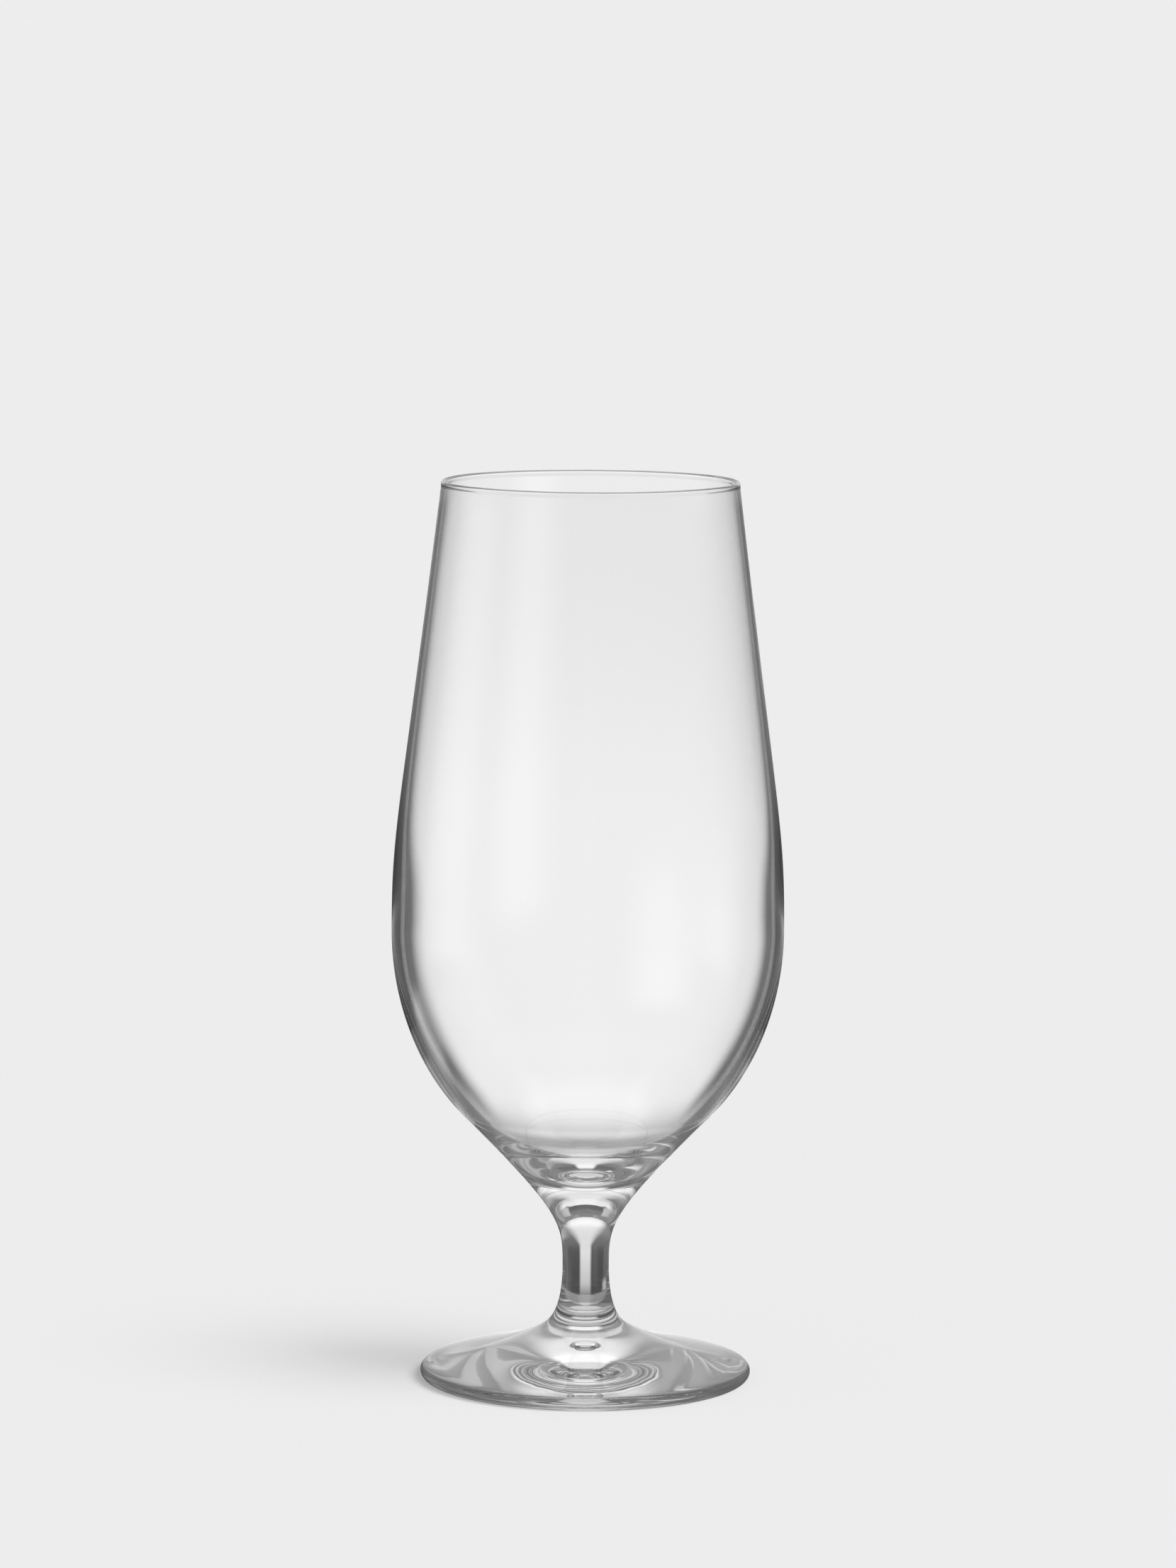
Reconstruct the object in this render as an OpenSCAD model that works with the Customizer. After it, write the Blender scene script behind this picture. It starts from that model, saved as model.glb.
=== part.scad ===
// Stemmed beer glass: a blown bowl, a short solid stem and a spun foot, fused end to end.
// Lengths are in millimetres. The axis of the glass is Z, and the foot stands on the plane z = 0.

/* [Bowl] */
// Height of the bowl, from its seam with the stem to the top of the lip
bowl_h = 153.5; // [130:0.5:180]
// Outer diameter of the lip
lip_d = 61.1; // [52:0.1:72]
// Thickness of the rounded lip
lip_bead = 1.05; // [0.8:0.05:1.8]
// How far the lip stands out from the wall on the outside
bead_out = 0.07; // [0:0.01:0.2]
// Height below the lip over which it thins to the wall
bead_drop = 0.85; // [0.6:0.05:3]
// Thickness of the wall just below the lip
lip_wall = 0.75; // [0.6:0.05:1.6]
// Lean of the wall at the lip, in degrees from upright
lip_lean = 6.9; // [2:0.1:9]
// Outer diameter of the belly
belly_d = 80.8; // [72:0.1:96]
// Height of the belly above the seam with the stem
belly_rise = 61.3; // [52:0.1:74]
// Thickness of the wall at the belly
belly_wall = 1.8; // [1.2:0.1:2.6]
// Outer diameter of the haunch, where the underside of the bowl runs straight
haunch_d = 51.7; // [44:0.1:60]
// Height of the haunch above the seam with the stem
haunch_rise = 22.9; // [20:0.1:28]
// Slope of the haunch, in degrees from upright
haunch_lean = 44.7; // [38:0.1:50]
// Thickness of the wall at the haunch
haunch_wall = 2.5; // [1.8:0.1:4]
// Thickness of the solid base, from the seam with the stem to the inside bottom
base_t = 11; // [9:0.1:13.5]

/* [Stem] */
// Length of the stem between its two seams
stem_l = 18.5; // [15:0.5:40]
// Diameter of the seam between bowl and stem
neck_d = 12.5; // [11:0.1:15]
// Slope of the outline at that seam, in degrees from upright
neck_lean = 24.8; // [15:0.1:32]
// Diameter of the waist
waist_d = 9.6; // [7:0.1:10.5]
// Height of the waist above the seam between stem and foot
waist_rise = 9.5; // [7:0.1:12]
// Diameter of the seam between stem and foot
ankle_d = 12.6; // [11:0.1:15]
// Slope of the outline at that seam, in degrees from upright
ankle_lean = 24.2; // [15:0.1:32]

/* [Foot] */
// Height of the foot, from the table to its seam with the stem
foot_h = 14; // [12:0.1:20]
// Diameter where the flare under the stem turns into the top of the disc
flare_d = 16.9; // [15.5:0.1:22]
// Drop of the flare below the seam with the stem
flare_drop = 2.75; // [2:0.05:3.5]
// Slope of the flare, in degrees from upright
flare_lean = 56.7; // [48:0.1:64]
// Outer diameter of the foot
foot_d = 68.4; // [58:0.1:80]
// Thickness of the rounded edge
edge_t = 3; // [2.4:0.1:4]
// Slope of the disc where it meets the edge, in degrees from upright
edge_lean = 70; // [60:0.5:78]
// Width of the flat ring that touches the table
ring_w = 3; // [1.5:0.1:6]
// Height of the hollow under the foot
hollow_h = 0.6; // [0.2:0.1:2]
// Diameter of the dimple in the middle of the underside
dimple_d = 5.2; // [3:0.1:8]
// Depth of the dimple above the hollow
dimple_h = 1.2; // [0.4:0.1:2]

/* [Drawing] */
// Straight steps in each curve of the outline
curve_steps = 18; // [8:1:40]

/* [Hidden] */
$fn = 96;

// Reach of each curve's two handles, as shares of the distance between its ends.
upper_side_shares = [0.76, 0.235];
upper_inside_shares = [0.82, 0.28];
bead_shares = [0.4, 0.4];
lower_side_shares = [0.395, 0.289];
haunch_shares = [0.583, 0.168];
floor_shares = [0.5, 0.25];
neck_shares = [0.363, 0.381];
ankle_shares = [0.48, 0.218];
flare_shares = [0.445, 0.258];
disc_shares = [0.343, 0.25];

// Power of the dimple's outline: a higher one has a flatter top and a steeper side.
dimple_power = 6;

// Clear glass, seen pale against a pale ground.
glass_colour = [0.9, 0.93, 0.93, 0.45];

// Heights of the two seams.
ankle_z = foot_h;
neck_z = foot_h + stem_l;

// Direction of a stretch of outline that runs down the glass and leans outward.
function downward(lean) = [sin(lean), -cos(lean)];

// Direction that faces out of the glass from such a stretch.
function outward(lean) = [cos(lean), sin(lean)];

// Places where the curves of the outline meet, as radius and height.
lip_round = lip_bead / 2;
lip_centre = [lip_d / 2 - lip_round, neck_z + bowl_h - lip_round];
lip_out = lip_centre + lip_round * outward(lip_lean);
lip_in = lip_centre - lip_round * outward(lip_lean);
wall_out = lip_out + bead_drop * downward(lip_lean) - bead_out * outward(lip_lean);
wall_in = wall_out - lip_wall * outward(lip_lean);
belly_out = [belly_d / 2, neck_z + belly_rise];
belly_in = belly_out - belly_wall * outward(0);
haunch_out = [haunch_d / 2, neck_z + haunch_rise];
haunch_in = haunch_out - haunch_wall * outward(-haunch_lean);
bowl_floor = [0, neck_z + base_t];
neck = [neck_d / 2, neck_z];
waist = [waist_d / 2, ankle_z + waist_rise];
ankle = [ankle_d / 2, ankle_z];
flare = [flare_d / 2, ankle_z - flare_drop];
edge_round = edge_t / 2;
edge_centre = [foot_d / 2 - edge_round, edge_round];
edge_top = edge_centre + edge_round * outward(edge_lean);
hollow_r = edge_centre.x - ring_w;
dimple_r = dimple_d / 2;

// Point on the curve of two ends a and d and two handles b and c.
function on_curve(a, b, c, d, t) =
    pow(1 - t, 3) * a + 3 * pow(1 - t, 2) * t * b + 3 * (1 - t) * t * t * c + pow(t, 3) * d;

// Points of a curve that leaves its first end and reaches its last at the given leans, without its last end.
function curve(first, first_lean, last, last_lean, shares) =
    let (reach = norm(last - first),
         first_handle = first + shares[0] * reach * downward(first_lean),
         last_handle = last - shares[1] * reach * downward(last_lean))
    [for (i = [0 : curve_steps - 1]) on_curve(first, first_handle, last_handle, last, i / curve_steps)];

// Points of a round corner, from one facing angle to another.
function corner(centre, radius, from, to) =
    [for (i = [0 : curve_steps]) centre + radius * outward(from + (to - from) * i / curve_steps)];

function backwards(points) = [for (i = [len(points) - 1 : -1 : 0]) points[i]];

bowl_outside = concat(
    curve(lip_out, lip_lean, wall_out, lip_lean, bead_shares),
    curve(wall_out, lip_lean, belly_out, 0, upper_side_shares),
    curve(belly_out, 0, haunch_out, -haunch_lean, lower_side_shares),
    curve(haunch_out, -haunch_lean, neck, -neck_lean, haunch_shares),
    [neck]);

bowl_inside = concat(
    curve(lip_in, lip_lean, wall_in, lip_lean, bead_shares),
    curve(wall_in, lip_lean, belly_in, 0, upper_inside_shares),
    curve(belly_in, 0, haunch_in, -haunch_lean, lower_side_shares),
    curve(haunch_in, -haunch_lean, bowl_floor, -90, floor_shares),
    [bowl_floor]);

lip_top = corner(lip_centre, lip_round, 180 + lip_lean, lip_lean);

stem_side = concat(
    curve(neck, -neck_lean, waist, 0, neck_shares),
    curve(waist, 0, ankle, ankle_lean, ankle_shares),
    [ankle]);

foot_top = concat(
    curve(ankle, ankle_lean, flare, flare_lean, flare_shares),
    curve(flare, flare_lean, edge_top, edge_lean, disc_shares));

foot_edge = corner(edge_centre, edge_round, edge_lean, -90);

// Height of the hollow at a radius.
function hollow_z(r) = hollow_h * (1 - pow(r / hollow_r, 2));

foot_hollow = [for (i = [0 : curve_steps])
    let (r = hollow_r + (dimple_r - hollow_r) * i / curve_steps) [r, hollow_z(r)]];

foot_dimple = [for (i = [1 : curve_steps])
    let (share = 1 - i / curve_steps, r = dimple_r * share)
    [r, hollow_z(r) + dimple_h * (1 - pow(share, dimple_power))]];

// The ends of the lip's corner are the ends of the bowl's two sides, so the corner leaves them out.
function inner_points(points) = [for (i = [1 : len(points) - 2]) points[i]];

// Blown bowl with a round lip and a thick base.
module bowl() {
    color(glass_colour)
        rotate_extrude()
            polygon(concat(bowl_outside, [[0, neck_z]], backwards(bowl_inside), inner_points(lip_top)));
}

// Solid stem with a waist between its two seams.
module stem() {
    color(glass_colour)
        rotate_extrude()
            polygon(concat(stem_side, [[0, ankle_z], [0, neck_z]]));
}

// Spun foot with a round edge, a flat ring to stand on, a shallow hollow inside it and a dimple in the middle.
module foot() {
    color(glass_colour)
        rotate_extrude()
            polygon(concat(foot_top, foot_edge, foot_hollow, foot_dimple, [[0, ankle_z]]));
}

bowl();
stem();
foot();
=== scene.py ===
import math
import bpy
from mathutils import Matrix, Vector


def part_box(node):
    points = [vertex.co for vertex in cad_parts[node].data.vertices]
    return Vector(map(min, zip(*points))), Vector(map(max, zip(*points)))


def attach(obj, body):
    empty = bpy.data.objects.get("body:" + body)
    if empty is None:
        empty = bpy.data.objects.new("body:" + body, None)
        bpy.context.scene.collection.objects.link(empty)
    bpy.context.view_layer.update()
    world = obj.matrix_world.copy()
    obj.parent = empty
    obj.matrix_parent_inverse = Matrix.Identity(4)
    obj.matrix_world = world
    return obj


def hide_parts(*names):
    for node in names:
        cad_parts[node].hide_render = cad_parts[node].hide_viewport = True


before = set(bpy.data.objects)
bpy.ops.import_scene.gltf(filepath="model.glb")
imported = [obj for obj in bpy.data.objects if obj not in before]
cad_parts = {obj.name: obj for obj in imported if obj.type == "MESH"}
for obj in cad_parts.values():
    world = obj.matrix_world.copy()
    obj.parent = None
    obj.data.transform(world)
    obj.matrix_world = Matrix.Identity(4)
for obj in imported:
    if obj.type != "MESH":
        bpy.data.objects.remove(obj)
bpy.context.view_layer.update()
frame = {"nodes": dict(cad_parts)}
mm = 0.001
degree = math.pi / 180
tiny = 1e-7  # points closer than this are one point

print("frame loaded:", ", ".join(frame["nodes"]))


# drawing the outline of the glass

def downward(lean):
    return Vector((math.sin(lean * degree), -math.cos(lean * degree)))  # lean is outward, in degrees from upright


def outward(lean):
    return Vector((math.cos(lean * degree), math.sin(lean * degree)))


def curveBetween(first, firstLean, last, lastLean, shares, steps):
    reach = (last - first).length
    firstHandle = first + downward(firstLean) * shares[0] * reach
    lastHandle = last - downward(lastLean) * shares[1] * reach
    points = []
    for i in range(steps + 1):
        t = i / steps
        s = 1 - t
        points.append(first * s ** 3 + firstHandle * 3 * s * s * t + lastHandle * 3 * s * t * t + last * t ** 3)
    return points


def roundCorner(centre, radius, startAngle, endAngle, steps):
    turn = endAngle - startAngle
    return [centre + outward(startAngle + turn * i / steps) * radius for i in range(steps + 1)]


def straight(first, last, steps):
    return [first.lerp(last, i / steps) for i in range(steps + 1)]


def join(*runs):
    points = []
    for run in runs:
        points += [p for p in run if not points or (p - points[-1]).length > tiny]  # shared ends once
    return points


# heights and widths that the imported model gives
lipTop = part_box("bowl")[1].z
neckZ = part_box("stem")[1].z
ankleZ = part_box("foot")[1].z
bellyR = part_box("bowl")[1].x
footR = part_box("foot")[1].x

# straight steps in each kind of curve
curveSteps = 56
beadSteps = 12
lipSteps = 16
edgeSteps = 24
seamSteps = 6

bowlShape = {
    "lipR": 30.55 * mm, "lipBead": 1.05 * mm, "beadOut": 0.07 * mm, "beadDrop": 0.85 * mm, "lipWall": 0.75 * mm,
    "lipLean": 6.9,
    "bellyRise": 61.3 * mm, "bellyWall": 1.8 * mm,
    "haunchR": 25.85 * mm, "haunchRise": 22.9 * mm, "haunchLean": 44.7, "haunchWall": 2.5 * mm,
    "base": 11 * mm,
    # reach of each curve's two handles, as shares of the distance between its ends
    "beadShares": (0.4, 0.4), "upperShares": (0.76, 0.235), "insideShares": (0.82, 0.28),
    "lowerShares": (0.395, 0.289), "haunchShares": (0.583, 0.168), "floorShares": (0.5, 0.25),
}

stemShape = {
    "neckR": 6.25 * mm, "neckLean": 24.8,
    "waistR": 4.8 * mm, "waistRise": 9.5 * mm,
    "ankleR": 6.3 * mm, "ankleLean": 24.2,
    "neckShares": (0.363, 0.381), "ankleShares": (0.48, 0.218),
}

footShape = {
    "flareR": 8.45 * mm, "flareDrop": 2.75 * mm, "flareLean": 56.7,
    "edge": 3 * mm, "edgeLean": 70,
    "ring": 3 * mm, "hollow": 0.6 * mm,
    "dimpleR": 2.6 * mm, "dimple": 1.2 * mm, "dimplePower": 6,
    "flareShares": (0.445, 0.258), "discShares": (0.343, 0.25),
}

neck = Vector((stemShape["neckR"], neckZ))
ankle = Vector((stemShape["ankleR"], ankleZ))


def bowlOutline(s):
    lipRound = s["lipBead"] / 2
    lipCentre = Vector((s["lipR"] - lipRound, lipTop - lipRound))
    lipOut = lipCentre + outward(s["lipLean"]) * lipRound
    lipIn = lipCentre - outward(s["lipLean"]) * lipRound
    wallOut = lipOut + downward(s["lipLean"]) * s["beadDrop"] - outward(s["lipLean"]) * s["beadOut"]
    wallIn = wallOut - outward(s["lipLean"]) * s["lipWall"]
    bellyOut = Vector((bellyR, neckZ + s["bellyRise"]))
    bellyIn = bellyOut - outward(0) * s["bellyWall"]
    haunchOut = Vector((s["haunchR"], neckZ + s["haunchRise"]))
    haunchIn = haunchOut - outward(-s["haunchLean"]) * s["haunchWall"]
    floor = Vector((0, neckZ + s["base"]))
    outside = join(
        curveBetween(lipOut, s["lipLean"], wallOut, s["lipLean"], s["beadShares"], beadSteps),
        curveBetween(wallOut, s["lipLean"], bellyOut, 0, s["upperShares"], curveSteps),
        curveBetween(bellyOut, 0, haunchOut, -s["haunchLean"], s["lowerShares"], curveSteps),
        curveBetween(haunchOut, -s["haunchLean"], neck, -stemShape["neckLean"], s["haunchShares"], curveSteps))
    inside = join(
        curveBetween(lipIn, s["lipLean"], wallIn, s["lipLean"], s["beadShares"], beadSteps),
        curveBetween(wallIn, s["lipLean"], bellyIn, 0, s["insideShares"], curveSteps),
        curveBetween(bellyIn, 0, haunchIn, -s["haunchLean"], s["lowerShares"], curveSteps),
        curveBetween(haunchIn, -s["haunchLean"], floor, -90, s["floorShares"], curveSteps))
    lip = roundCorner(lipCentre, lipRound, s["lipLean"], 180 + s["lipLean"], lipSteps)
    seam = straight(Vector((0, neckZ)), neck, seamSteps)
    return join(seam, outside[::-1], lip, inside), len(seam) - 1


def stemOutline(s):
    waist = Vector((s["waistR"], ankleZ + s["waistRise"]))
    side = join(
        curveBetween(neck, -s["neckLean"], waist, 0, s["neckShares"], curveSteps),
        curveBetween(waist, 0, ankle, s["ankleLean"], s["ankleShares"], curveSteps))
    upperSeam = straight(Vector((0, neckZ)), neck, seamSteps)
    lowerSeam = straight(Vector((0, ankleZ)), ankle, seamSteps)
    return join(lowerSeam, side[::-1], upperSeam[::-1]), len(lowerSeam) - 1


def footOutline(s):
    edgeRound = s["edge"] / 2
    edgeCentre = Vector((footR - edgeRound, edgeRound))
    edgeTop = edgeCentre + outward(s["edgeLean"]) * edgeRound
    flare = Vector((s["flareR"], ankleZ - s["flareDrop"]))
    hollowR = edgeCentre.x - s["ring"]
    top = join(
        curveBetween(ankle, stemShape["ankleLean"], flare, s["flareLean"], s["flareShares"], curveSteps),
        curveBetween(flare, s["flareLean"], edgeTop, s["edgeLean"], s["discShares"], curveSteps))
    edge = roundCorner(edgeCentre, edgeRound, s["edgeLean"], -90, edgeSteps)
    dimpleR = s["dimpleR"]
    hollow = []
    for i in range(curveSteps + 1):
        r = hollowR + (dimpleR - hollowR) * i / curveSteps
        hollow.append(Vector((r, s["hollow"] * (1 - (r / hollowR) ** 2))))
    for i in range(1, curveSteps + 1):
        share = 1 - i / curveSteps
        rise = s["hollow"] * (1 - (dimpleR * share / hollowR) ** 2)
        hollow.append(Vector((dimpleR * share, rise + s["dimple"] * (1 - share ** s["dimplePower"]))))
    seam = straight(Vector((0, ankleZ)), ankle, seamSteps)
    under = join(edge, hollow)
    return join(under[::-1], top[::-1], seam[::-1]), len(seam) - 1


# turning an outline into a closed mesh

latheSides = 240
onRing = 1e-6  # how near an edge lies to a ring that stays sharp


def latheMesh(name, outline):
    # the outline runs from the axis at the bottom, up the outside and back to the axis
    vertices, rings, faces = [], [], []
    for point in outline:
        if point.x < tiny:
            rings.append([len(vertices)])
            vertices.append((0, 0, point.y))
            continue
        ring = []
        for k in range(latheSides):
            a = 2 * math.pi * k / latheSides
            ring.append(len(vertices))
            vertices.append((point.x * math.cos(a), point.x * math.sin(a), point.y))
        rings.append(ring)
    bands = []
    for i in range(len(rings) - 1):
        low, high = rings[i], rings[i + 1]
        for k in range(latheSides):
            n = (k + 1) % latheSides
            if len(low) == 1:
                faces.append((low[0], high[n], high[k]))
            elif len(high) == 1:
                faces.append((low[k], low[n], high[0]))
            else:
                faces.append((low[k], low[n], high[n], high[k]))
            bands.append(i)
    mesh = bpy.data.meshes.new(name)
    mesh.from_pydata(vertices, [], faces)
    mesh.update()
    return mesh, bands


def latheObject(name, outline, sharpAt, weldBands, glass, weld):
    mesh, bands = latheMesh(name, outline)
    mesh.materials.append(glass)
    mesh.materials.append(weld)
    mesh.polygons.foreach_set("use_smooth", [True] * len(mesh.polygons))
    mesh.polygons.foreach_set("material_index", [1 if b in weldBands else 0 for b in bands])
    for edge in mesh.edges:
        a, b = (mesh.vertices[v].co for v in edge.vertices)
        for r, z in sharpAt:
            if all(abs(p.xy.length - r) < onRing and abs(p.z - z) < onRing for p in (a, b)):
                edge.use_edge_sharp = True
    piece = bpy.data.objects.new(name, mesh)
    bpy.context.scene.collection.objects.link(piece)
    return piece


# small helpers for node trees

def mathNode(tree, operation, a, b=None):
    node = tree.nodes.new("ShaderNodeMath")
    node.operation = operation
    for i, value in enumerate((a, b)):
        if value is None:
            continue
        if isinstance(value, (int, float)):
            node.inputs[i].default_value = value
        else:
            tree.links.new(value, node.inputs[i])
    return node.outputs[0]


def stepNode(tree, value, low, high, first, last):
    node = tree.nodes.new("ShaderNodeMapRange")
    node.interpolation_type = "SMOOTHSTEP"
    for name, number in (("From Min", low), ("From Max", high), ("To Min", first), ("To Max", last)):
        if isinstance(number, (int, float)):
            node.inputs[name].default_value = number
        else:
            tree.links.new(number, node.inputs[name])
    tree.links.new(value, node.inputs["Value"])
    return node.outputs["Result"]


def lineNode(tree, value, low, high, first, last):
    node = tree.nodes.new("ShaderNodeMapRange")
    for name, number in (("From Min", low), ("From Max", high), ("To Min", first), ("To Max", last)):
        node.inputs[name].default_value = number
    tree.links.new(value, node.inputs["Value"])
    return node.outputs["Result"]


def mixValues(tree, factor, a, b):
    node = tree.nodes.new("ShaderNodeMix")
    for name, value in (("Factor", factor), ("A", a), ("B", b)):
        if isinstance(value, (int, float)):
            node.inputs[name].default_value = value
        else:
            tree.links.new(value, node.inputs[name])
    return node.outputs["Result"]


# glass and weld

# tint is the glass's base colour; on the stem and the foot's rim it is painted shade, darker towards the stem's foot
# and at the rim's edge; shadow is what the light keeps on its way through, for the cast shadow.
# each runs from the first to the second of the places given with it: shares of the piece's height, or for the foot's
# rim its reach from the axis
# waves are the slight unevenness of worked glass, given by their number to the metre and their height
bowlFinish = {
    "tintAndPaintedShade": 1.0, "ior": 1.52, "waves": 45, "waveHeight": 0.012 * mm,
    "shadow": (0.77, 1.0), "shadowShares": (0.04, 0.23),
}
# the stem's tint is painted shade: darker towards its foot, for the shaded table seen through its lower part
stemFinish = {
    "tintAndPaintedShade": (0.55, 1.0), "paintedShadeShares": (0.25, 1), "ior": 1.52, "waves": 160, "waveHeight": 0.01 * mm,
    "shadow": 0.45,
}
# the foot's tint is painted shade: the rim darker at its edge, for the dark surroundings seen through it
footFinish = {
    "tintAndPaintedShade": (1.0, 0.56), "paintedShadeReach": (31.8 * mm, 33.2 * mm), "ior": 1.52, "waves": 140, "waveHeight": 0.025 * mm,
    "shadow": (1.0, 0.3), "shadowShares": (0.08, 0.3),
}


def clearGlass(name, f):
    material = bpy.data.materials.new(name)
    material.use_nodes = True
    tree = material.node_tree
    tree.nodes.clear()
    output = tree.nodes.new("ShaderNodeOutputMaterial")
    body = tree.nodes.new("ShaderNodeBsdfPrincipled")
    body.inputs["Roughness"].default_value = 0
    body.inputs["IOR"].default_value = f["ior"]
    body.inputs["Transmission Weight"].default_value = 1
    coords = tree.nodes.new("ShaderNodeTexCoord")
    waves = tree.nodes.new("ShaderNodeTexNoise")
    waves.inputs["Scale"].default_value = f["waves"]
    waves.inputs["Detail"].default_value = 1
    tree.links.new(coords.outputs["Object"], waves.inputs["Vector"])
    bump = tree.nodes.new("ShaderNodeBump")
    bump.inputs["Distance"].default_value = f["waveHeight"]
    tree.links.new(waves.outputs[0], bump.inputs["Height"])
    tree.links.new(bump.outputs[0], body.inputs["Normal"])
    height = tree.nodes.new("ShaderNodeSeparateXYZ")
    tree.links.new(coords.outputs["Generated"], height.inputs[0])
    flat = tree.nodes.new("ShaderNodeVectorMath")
    flat.operation = "MULTIPLY"
    flat.inputs[1].default_value = (1, 1, 0)
    tree.links.new(coords.outputs["Object"], flat.inputs[0])
    reach = tree.nodes.new("ShaderNodeVectorMath")
    reach.operation = "LENGTH"
    tree.links.new(flat.outputs["Vector"], reach.inputs[0])
    # on the stem and the foot's rim the base colour is painted shade, darker by height or by reach from the axis
    if "paintedShadeReach" in f:
        tintAndPaintedShade = lineNode(tree, reach.outputs["Value"], *f["paintedShadeReach"], *f["tintAndPaintedShade"])
        tree.links.new(tintAndPaintedShade, body.inputs["Base Color"])
    elif "paintedShadeShares" in f:
        tintAndPaintedShade = lineNode(tree, height.outputs["Z"], *f["paintedShadeShares"], *f["tintAndPaintedShade"])
        tree.links.new(tintAndPaintedShade, body.inputs["Base Color"])
    else:
        body.inputs["Base Color"].default_value = (f["tintAndPaintedShade"],) * 3 + (1,)
    passing = tree.nodes.new("ShaderNodeBsdfTransparent")
    if "shadowShares" not in f:
        passing.inputs["Color"].default_value = (f["shadow"],) * 3 + (1,)
    else:
        shadow = lineNode(tree, height.outputs["Z"], *f["shadowShares"], *f["shadow"])
        tree.links.new(shadow, passing.inputs["Color"])
    path = tree.nodes.new("ShaderNodeLightPath")
    mix = tree.nodes.new("ShaderNodeMixShader")
    tree.links.new(path.outputs["Is Shadow Ray"], mix.inputs[0])
    tree.links.new(body.outputs[0], mix.inputs[1])
    tree.links.new(passing.outputs[0], mix.inputs[2])
    tree.links.new(mix.outputs[0], output.inputs["Surface"])
    return material


def fusedSeam(name):
    material = bpy.data.materials.new(name)
    material.use_nodes = True
    tree = material.node_tree
    tree.nodes.clear()
    output = tree.nodes.new("ShaderNodeOutputMaterial")
    passing = tree.nodes.new("ShaderNodeBsdfTransparent")
    tree.links.new(passing.outputs[0], output.inputs["Surface"])
    return material


bowlGlass = clearGlass("bowl_clear", bowlFinish)
stemGlass = clearGlass("stem_clear", stemFinish)
footGlass = clearGlass("foot_clear", footFinish)
weld = fusedSeam("fused_seam")

outline, seamEnd = bowlOutline(bowlShape)
bowl = latheObject("bowl_glass", outline, [(neck.x, neck.y)], set(range(seamEnd)), bowlGlass, weld)
print("bowl:", len(bowl.data.polygons), "faces")

outline, seamEnd = stemOutline(stemShape)
bandCount = len(outline) - 1
stemWelds = set(range(seamEnd)) | set(range(bandCount - seamEnd, bandCount))
stem = latheObject("stem_glass", outline, [(neck.x, neck.y), (ankle.x, ankle.y)], stemWelds, stemGlass, weld)
print("stem:", len(stem.data.polygons), "faces")

outline, seamEnd = footOutline(footShape)
bandCount = len(outline) - 1
rims = [(ankle.x, ankle.y)] + [(p.x, p.y) for p in outline if abs(p.x - footShape["dimpleR"]) < tiny]
foot = latheObject("foot_glass", outline, rims, set(range(bandCount - seamEnd, bandCount)), footGlass, weld)
print("foot:", len(foot.data.polygons), "faces")

for piece, node in ((bowl, "bowl"), (stem, "stem"), (foot, "foot")):
    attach(piece, "root")
    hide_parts(node)


# floor, light and surroundings

studio = {
    "backdrop": 0.847,  # pale grey, as seen by the camera
    "floorColour": 0.8, "floorHalf": 60,
    "skyLevel": 0.2, "sunLevel": 3.5, "sunAngle": 36, "sunFrom": (0.75, -0.35, 1.0),
    "side": (0.18, 0.27), "sideFrom": 2, "sideTo": 16,  # the dim room left and right
    "front": 0.16, "frontFrom": 95, "frontTo": 125,
    "ceiling": (0.05, 0.18), "ceilingFrom": 70, "ceilingTo": 95, "ceilingHalf": (22, 27),  # the dark gap above
    "table": (0.6, 0.3), "tableFrom": -34, "tableTo": -44, "tableTurn": (55, 85),
    "below": 0.86, "belowFrom": -60, "belowTo": -70,  # the table as seen from high above
}

# the bright panel behind the glass, a narrow strip below that opens upwards
panel = {
    "turn": 0.6, "halfFrom": -3, "halfTo": 32, "half": (9, 34), "softFrom": -5, "softTo": 14, "soft": (2.5, 12),
    "dim": 0.3, "dimFrom": -15, "dimTo": -30, "level": (0.985, 0.9), "levelFrom": -9, "levelTo": -4,
    "middle": 0.82, "middleFrom": -3, "middleTo": 5, "top": 1.05, "topFrom": 18, "topTo": 30,
    "overhead": (28, 46), "end": (65, 68),  # reach to each side and to the front, from straight above and from behind
    "over": 0.6, "overTo": (88, 98),
}

# cards that only the glass sees: turn is from straight behind towards the right, all in degrees
cards = [
    {"turn": 24.5, "half": 15, "soft": 5, "low": -25, "lowSoft": 4, "high": -4, "highSoft": 5, "level": 0.11},
    {"turn": -24.5, "half": 15, "soft": 5, "low": -25, "lowSoft": 4, "high": -4, "highSoft": 5, "level": 0.1},
    {"turn": -45, "half": 8, "soft": 10, "low": -32, "lowSoft": 3, "high": -18.5, "highSoft": 2.5, "level": 0.83},
    {"turn": -90, "half": 16, "soft": 30, "low": -12, "lowSoft": 5, "high": 8, "highSoft": 5, "level": 0.81},
    {"turn": 72, "half": 34, "soft": 24, "low": 7, "lowSoft": 4, "high": 36, "highSoft": 14, "level": 0.44},
    {"turn": 135, "half": 16, "soft": 30, "low": -28, "lowSoft": 6, "high": -3, "highSoft": 10, "level": 0.93},
]


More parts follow.
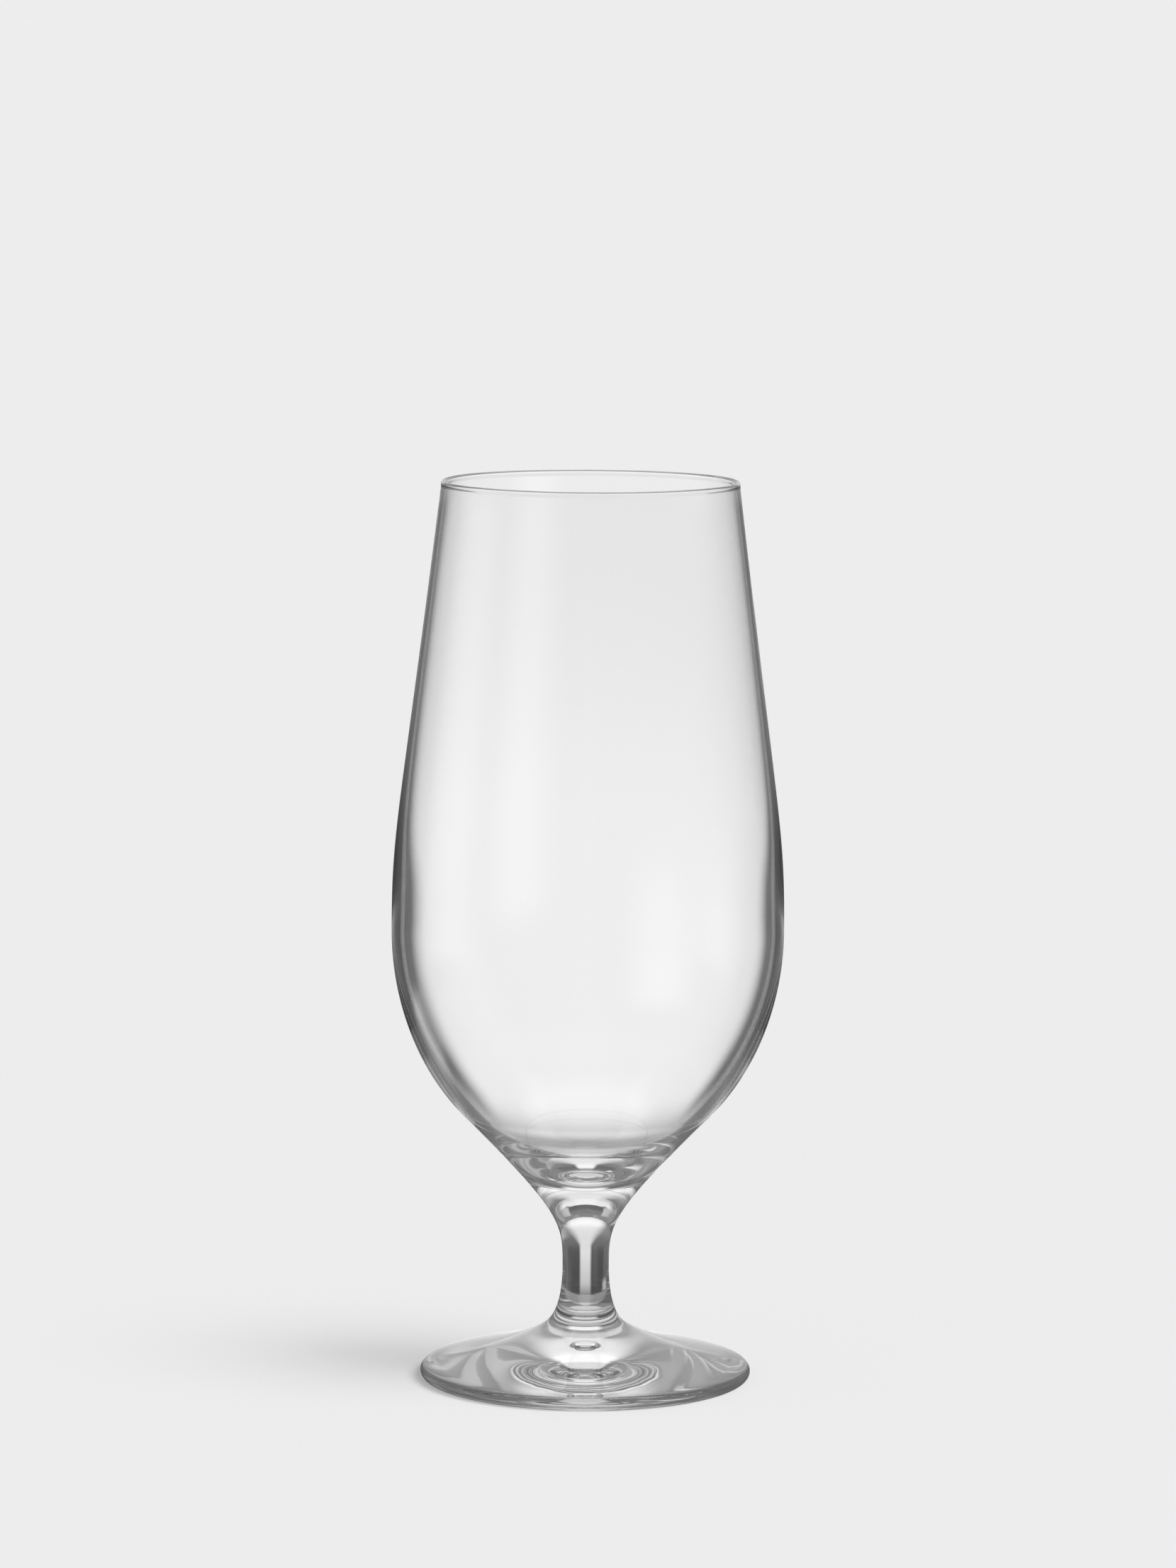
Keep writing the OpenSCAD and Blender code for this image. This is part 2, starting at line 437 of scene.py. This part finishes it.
def cardMask(tree, turn, height, card):
    off = mathNode(tree, "SUBTRACT", turn, card["turn"])
    rounds = mathNode(tree, "ROUND", mathNode(tree, "DIVIDE", off, 360))
    wrapped = mathNode(tree, "SUBTRACT", off, mathNode(tree, "MULTIPLY", rounds, 360))
    off = mathNode(tree, "ABSOLUTE", wrapped)
    half, low, high = card["half"], card["low"], card["high"]
    side = stepNode(tree, off, half - card["soft"] / 2, half + card["soft"] / 2, 1.0, 0.0)
    bottom = stepNode(tree, height, low - card["lowSoft"], low + card["lowSoft"], 0.0, 1.0)
    top = stepNode(tree, height, high - card["highSoft"], high + card["highSoft"], 1.0, 0.0)
    return mathNode(tree, "MULTIPLY", side, mathNode(tree, "MULTIPLY", bottom, top))


def panelMask(tree, turn, height, aside, p):
    off = mathNode(tree, "ABSOLUTE", mathNode(tree, "SUBTRACT", turn, p["turn"]))
    half = lineNode(tree, height, p["halfFrom"], p["halfTo"], *p["half"])
    soft = lineNode(tree, height, p["softFrom"], p["softTo"], *p["soft"])
    strip = stepNode(tree, off, mathNode(tree, "SUBTRACT", half, soft), mathNode(tree, "ADD", half, soft), 1.0, 0.0)
    return mathNode(tree, "MAXIMUM", strip, stepNode(tree, aside, *p["overhead"], 1.0, 0.0))


def studioWorld(s, p):
    world = bpy.data.worlds.new("studio")
    world.use_nodes = True
    tree = world.node_tree
    tree.nodes.clear()
    output = tree.nodes.new("ShaderNodeOutputWorld")
    direction = tree.nodes.new("ShaderNodeTexCoord").outputs["Generated"]
    split = tree.nodes.new("ShaderNodeSeparateXYZ")
    tree.links.new(direction, split.inputs[0])
    x, y, z = (split.outputs[k] for k in "XYZ")
    turn = mathNode(tree, "MULTIPLY", mathNode(tree, "ARCTAN2", x, y), 1 / degree)
    height = mathNode(tree, "MULTIPLY", mathNode(tree, "ARCSINE", z), 1 / degree)
    pitch = mathNode(tree, "MULTIPLY", mathNode(tree, "ARCTAN2", z, y), 1 / degree)  # up from behind and over
    aside = mathNode(tree, "MULTIPLY", mathNode(tree, "ARCTAN2", mathNode(tree, "ABSOLUTE", x), z), 1 / degree)
    ceiling = stepNode(tree, pitch, s["ceilingFrom"], s["ceilingTo"], *s["ceiling"])
    level = stepNode(tree, height, s["sideFrom"], s["sideTo"], *s["side"])
    level = stepNode(tree, mathNode(tree, "ABSOLUTE", turn), s["frontFrom"], s["frontTo"], level, s["front"])
    gap = stepNode(tree, pitch, *p["end"], 0.0, 1.0)
    gap = mathNode(tree, "MULTIPLY", gap, stepNode(tree, aside, *s["ceilingHalf"], 1.0, 0.0))
    level = mixValues(tree, gap, level, ceiling)
    for card in cards:
        level = mixValues(tree, cardMask(tree, turn, height, card), level, card["level"])
    bright = stepNode(tree, height, p["levelFrom"], p["levelTo"], *p["level"])
    bright = stepNode(tree, height, p["middleFrom"], p["middleTo"], bright, p["middle"])
    bright = stepNode(tree, height, p["topFrom"], p["topTo"], bright, p["top"])
    bright = stepNode(tree, height, p["dimTo"], p["dimFrom"], p["dim"], bright)
    bright = stepNode(tree, pitch, *p["end"], bright, p["over"])
    bright = stepNode(tree, pitch, *p["overTo"], bright, s["front"])
    bright = mixValues(tree, gap, bright, ceiling)
    level = mixValues(tree, panelMask(tree, turn, height, aside, p), level, bright)
    table = stepNode(tree, mathNode(tree, "ABSOLUTE", turn), *s["tableTurn"], *s["table"])
    table = stepNode(tree, height, s["belowTo"], s["belowFrom"], s["below"], table)
    level = stepNode(tree, height, s["tableTo"], s["tableFrom"], table, level)
    path = tree.nodes.new("ShaderNodeLightPath")
    throughGlass = mathNode(tree, "MAXIMUM", path.outputs["Is Glossy Ray"], path.outputs["Is Transmission Ray"])
    plain = mixValues(tree, path.outputs["Is Camera Ray"], s["skyLevel"], s["backdrop"])
    background = tree.nodes.new("ShaderNodeBackground")
    background.inputs["Color"].default_value = (1, 1, 1, 1)
    tree.links.new(mixValues(tree, throughGlass, plain, level), background.inputs["Strength"])
    tree.links.new(background.outputs[0], output.inputs["Surface"])
    bpy.context.scene.world = world


def paleFloor(s):
    half = s["floorHalf"]
    mesh = bpy.data.meshes.new("floor")
    mesh.from_pydata([(-half, -half, 0), (half, -half, 0), (half, half, 0), (-half, half, 0)], [], [(0, 1, 2, 3)])
    floor = bpy.data.objects.new("floor", mesh)
    bpy.context.scene.collection.objects.link(floor)
    material = bpy.data.materials.new("pale_floor")
    material.use_nodes = True
    body = material.node_tree.nodes["Principled BSDF"]
    body.inputs["Base Color"].default_value = (s["floorColour"],) * 3 + (1,)
    body.inputs["Roughness"].default_value = 1
    body.inputs["Specular IOR Level"].default_value = 0
    mesh.materials.append(material)
    floor.visible_transmission = False
    floor.visible_glossy = False


def softKey(s):
    lamp = bpy.data.lights.new("soft_key", "SUN")
    lamp.energy = s["sunLevel"]
    lamp.angle = s["sunAngle"] * degree
    key = bpy.data.objects.new("soft_key", lamp)
    key.rotation_mode = "QUATERNION"
    key.rotation_quaternion = Vector(s["sunFrom"]).to_track_quat("Z", "Y")
    key.visible_glossy = False
    key.visible_transmission = False
    bpy.context.scene.collection.objects.link(key)


studioWorld(studio, panel)
paleFloor(studio)
softKey(studio)
print("studio ready")


# camera at the photograph's place

view = {
    "distance": 1.28714, "height": 0.28506, "pitch": 7.146, "roll": 0.374, "yaw": 0.0076,
    "focalPixels": 8929.2, "tall": 2212, "sensor": 36,
}


def photoCamera(v):
    data = bpy.data.cameras.new("camera")
    data.sensor_width = v["sensor"]
    data.lens = v["focalPixels"] / v["tall"] * v["sensor"]
    camera = bpy.data.objects.new("camera", data)
    turn = Matrix.Rotation(v["yaw"] * degree, 4, "Z") @ Matrix.Rotation((90 - v["pitch"]) * degree, 4, "X")
    turn = turn @ Matrix.Rotation(v["roll"] * degree, 4, "Z")
    camera.matrix_world = Matrix.Translation((0, -v["distance"], v["height"])) @ turn
    bpy.context.scene.collection.objects.link(camera)
    bpy.context.scene.camera = camera


photoCamera(view)

scene = bpy.context.scene
scene.view_settings.view_transform = "Standard"
lightBounces = 48  # light runs round and round inside the thick base
scene.cycles.max_bounces = lightBounces
scene.cycles.transmission_bounces = lightBounces
scene.cycles.glossy_bounces = lightBounces
scene.cycles.transparent_max_bounces = 32
